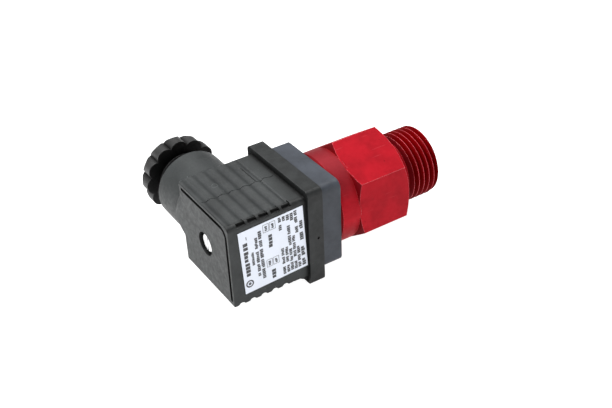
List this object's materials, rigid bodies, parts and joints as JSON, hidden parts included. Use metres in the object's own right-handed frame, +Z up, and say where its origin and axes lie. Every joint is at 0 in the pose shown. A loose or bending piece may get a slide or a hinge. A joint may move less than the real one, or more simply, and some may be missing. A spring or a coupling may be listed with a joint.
{
  "type": "pressure switch",
  "caption": "Electrical pressure switch with a threaded port, a red hexagon body and a square plug-on cable connector with a side gland.",
  "frame": {"origin": "centre of the sealing shoulder, the hexagon's face at the thread, on the port axis", "axes": "+X out of the port along its thread, +Y out of the cable gland, +Z up; the label is on the -Y side and the connector's screw faces -X"},
  "size_m": [0.0732, 0.0547, 0.0312],
  "materials": {
    "red_anodised": "red anodised, satin",
    "black_plastic": "dark grey moulded polyamide, fine grain",
    "nut_plastic": "black moulded polyamide",
    "blue_grey_plastic": "blue-grey moulded polyamide",
    "plate_plastic": "blue-grey moulded polyamide",
    "block_plastic": "black moulded polyamide",
    "switch_plastic": "black phenolic",
    "plunger_plastic": "orange moulded",
    "steel": "zinc plated",
    "spring_steel": "drawn spring wire",
    "brass": "turned",
    "contact_metal": "tin plated brass",
    "rubber": "nitrile, matte",
    "label_film": "white polyester film, semi-gloss"
  },
  "bodies": {
    "port": {"port_body": "red_anodised", "diaphragm": "rubber", "clamp_ring": "steel", "range_spring": "spring_steel", "base": "blue_grey_plastic", "base_seal": "rubber", "terminal_plate": "plate_plastic", "pin_1": "contact_metal", "pin_2": "contact_metal", "pin_3": "contact_metal", "pin_earth": "contact_metal", "earth_strip": "contact_metal", "threaded_post": "brass", "switch_case": "switch_plastic", "switch_lid": "switch_plastic", "tag_common": "contact_metal", "tag_open": "contact_metal", "tag_closed": "contact_metal", "lead_common": "contact_metal", "lead_closed": "contact_metal", "lead_open": "contact_metal"},
    "piston": {"piston": "brass"},
    "plunger": {"plunger": "plunger_plastic", "contact_bridge": "contact_metal"},
    "adjuster": {"adjusting_ring": "brass"},
    "connector": {"connector_housing": "black_plastic", "gasket": "rubber", "terminal_block": "block_plastic", "contact_1": "contact_metal", "contact_2": "contact_metal", "contact_3": "contact_metal", "contact_earth": "contact_metal", "clamp_screws": "steel", "label": "label_film", "gland_seal": "rubber", "screw_seal": "rubber"},
    "connector_screw": {"connector_screw": "steel"},
    "gland_washer": {"gland_washer": "steel"},
    "gland_nut": {"gland_nut": "nut_plastic"}
  },
  "joints": [
    {"name": "piston_stroke", "type": "slide", "parent": "port", "child": "piston", "axis": [-1, 0, 0], "range_m": [0, 0.0004], "stiffness_N_per_m": 2000, "deforming": ["range_spring"]},
    {"name": "plunger_stroke", "type": "slide", "parent": "port", "child": "plunger", "axis": [-1, 0, 0], "range_m": [0, 0.0004]},
    {"name": "set_point", "type": "hinge", "parent": "port", "child": "adjuster", "pos_m": [-0.0146, 0, 0], "axis": [1, 0, 0], "range_deg": [-180, 180]},
    {"name": "unplug", "type": "slide", "parent": "port", "child": "connector", "axis": [-1, 0, 0], "range_m": [0, 0.012]},
    {"name": "screw_turn", "type": "hinge", "parent": "connector", "child": "connector_screw", "pos_m": [-0.0567, 0, 0], "axis": [1, 0, 0], "continuous": true},
    {"name": "gland_travel", "type": "slide", "parent": "connector", "child": "gland_washer", "axis": [0, 1, 0], "range_m": [0, 0.00425]},
    {"name": "gland_turn", "type": "hinge", "parent": "gland_washer", "child": "gland_nut", "pos_m": [-0.0477, 0.0368, 0], "axis": [0, 1, 0], "range_deg": [0, 1080]}
  ],
  "couplings": [
    {"joint": "plunger_stroke", "follows": "piston_stroke", "ratio": 1},
    {"joint": "gland_travel", "follows": "gland_turn", "m_per_rad": 0.00022441}
  ]
}
